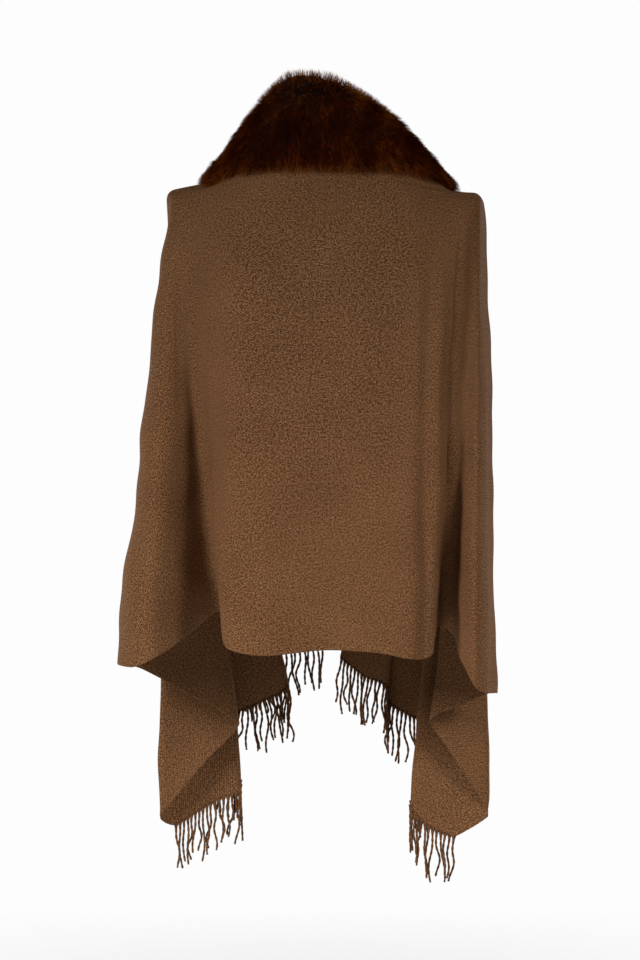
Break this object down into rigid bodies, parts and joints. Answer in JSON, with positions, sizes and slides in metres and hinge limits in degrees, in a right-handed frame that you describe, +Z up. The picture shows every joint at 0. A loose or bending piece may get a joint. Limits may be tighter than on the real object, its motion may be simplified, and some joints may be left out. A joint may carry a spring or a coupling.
{
  "type": "fur-collared wool wrap, worn",
  "caption": "Open wool wrap with a standing fur collar and fringed ends, draped over two shoulders and hanging in stepped folds; hollow, open at the neck, front and hem.",
  "frame": {"origin": "midway between the shoulders, at the height where the cloth rests on them, below the nape", "axes": "+Z up; +Y to the wearer's front, so the back faces -Y; +X to the wearer's right"},
  "size_m": [0.5157, 0.3272, 1.1255],
  "materials": {
    "wool_twill": "brown melange wool twill, matt with a soft nap",
    "wool_fringe": "twisted brown wool yarn",
    "fur": "dense short dark brown fur"
  },
  "bodies": {
    "root": {"cloth_back": "wool_twill", "cloth_left_front": "wool_twill", "cloth_right_front": "wool_twill", "fringe_left": "wool_fringe", "fringe_right": "wool_fringe", "fur_collar": "fur"}
  },
  "joints": []
}
